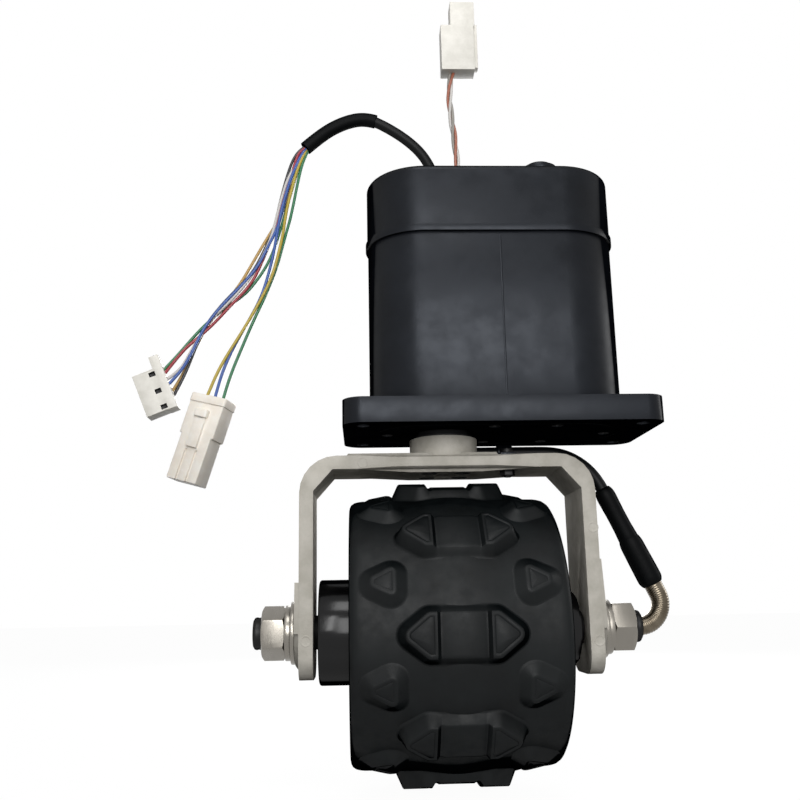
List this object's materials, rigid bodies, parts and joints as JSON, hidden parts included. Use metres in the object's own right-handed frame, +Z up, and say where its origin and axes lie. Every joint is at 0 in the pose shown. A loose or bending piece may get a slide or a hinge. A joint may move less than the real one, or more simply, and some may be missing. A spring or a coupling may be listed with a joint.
{
  "type": "robotic mower wheel motor",
  "caption": "Powered steering wheel unit: a geared steering housing on a bolted flange turns a fork that carries a hub motor wheel, with free leads to latched connectors.",
  "frame": {"origin": "centre of the four flange bolt holes, on the flange's top face, which seats against the underside of the machine's deck", "axes": "+Z up along the steering axis, +X along the flange's long side with the motor end at +X, the wheel's axle along X at rest"},
  "size_m": [0.2161, 0.1138, 0.3361],
  "materials": {
    "housing_plastic": "moulded black plastic, satin",
    "black_rubber": "moulded black rubber",
    "tyre_rubber": "moulded black tyre rubber, matte",
    "drum_metal": "black coated aluminium casting",
    "cast_aluminium": "bead blasted casting",
    "zinc_steel": "zinc plated steel",
    "black_steel": "black oxide steel",
    "bare_steel": "turned steel",
    "lamination": "stacked electrical steel",
    "stainless_tube": "close wound stainless tube",
    "nylon": "natural nylon",
    "brass": "machined brass",
    "copper": "enamelled copper wire",
    "circuit_board": "green solder mask",
    "magnet": "nickel plated magnets",
    "wire_hall": "thin insulated wires in several colours",
    "wire_phase": "thin insulated wires in three colours",
    "wire_steering": "thin insulated wires in three colours",
    "cable_jacket": "black cable jacket",
    "connector_ivory": "ivory nylon connector"
  },
  "bodies": {
    "housing": {"base_flange": "housing_plastic", "housing_body": "housing_plastic", "top_cap": "housing_plastic", "cap_seal": "black_rubber", "body_screws": "zinc_steel", "cap_screws": "black_steel", "bottom_cover": "housing_plastic", "bottom_cover_screws": "black_steel", "vent_plug": "housing_plastic", "cable_grommet": "black_rubber", "lead_grommet": "black_rubber", "lower_bearing": "bare_steel", "upper_bearing": "bare_steel", "shaft_seal": "black_rubber", "motor_plate": "bare_steel", "plate_screws": "zinc_steel", "idler_pin": "bare_steel", "steering_motor": "zinc_steel", "motor_end_bell": "nylon", "encoder_board": "circuit_board", "hub_lead": "cable_jacket", "hall_wires": "wire_hall", "phase_wires": "wire_phase", "steering_lead": "wire_steering", "hall_connector": "connector_ivory", "phase_connector": "connector_ivory", "steering_connector": "connector_ivory"},
    "fork": {"fork": "cast_aluminium", "steering_shaft": "cast_aluminium", "output_gear": "nylon", "magnet_ring": "magnet", "retaining_ring": "black_steel", "dust_ring": "black_rubber", "fork_screws": "zinc_steel", "axle": "black_steel", "stator_core": "lamination", "stator_windings": "copper", "hall_board": "circuit_board", "axle_nuts": "zinc_steel", "lock_washers": "zinc_steel", "flat_washers": "zinc_steel", "cable_guard": "stainless_tube", "sleeve_lower": "black_rubber", "sleeve_upper": "black_rubber", "hub_cable": "cable_jacket", "cable_clip": "housing_plastic", "clip_screw": "zinc_steel"},
    "wheel": {"tyre": "tyre_rubber", "hub_drum": "drum_metal", "cover_left": "drum_metal", "cover_right": "drum_metal", "rotor_ring": "bare_steel", "magnets": "magnet", "wheel_bearings": "bare_steel", "cover_screws": "black_steel"},
    "idler": {"idler_gear": "nylon"},
    "pinion": {"motor_pinion": "brass"}
  },
  "joints": [
    {"name": "steer", "type": "hinge", "parent": "housing", "child": "fork", "pos_m": [-0.022, 0, 0], "axis": [0, 0, 1], "range_deg": [-90, 90]},
    {"name": "wheel_spin", "type": "hinge", "parent": "fork", "child": "wheel", "pos_m": [-0.022, 0, -0.088], "axis": [1, 0, 0], "continuous": true},
    {"name": "idler_turn", "type": "hinge", "parent": "housing", "child": "idler", "pos_m": [0.0085, 0, 0], "axis": [0, 0, 1], "range_deg": [-129.7, 129.7]},
    {"name": "pinion_turn", "type": "hinge", "parent": "housing", "child": "pinion", "pos_m": [0.028, 0, 0], "axis": [0, 0, 1], "range_deg": [-231.5, 231.5]}
  ],
  "couplings": [
    {"joint": "idler_turn", "follows": "steer", "ratio": -1.44},
    {"joint": "pinion_turn", "follows": "steer", "ratio": 2.5714}
  ]
}
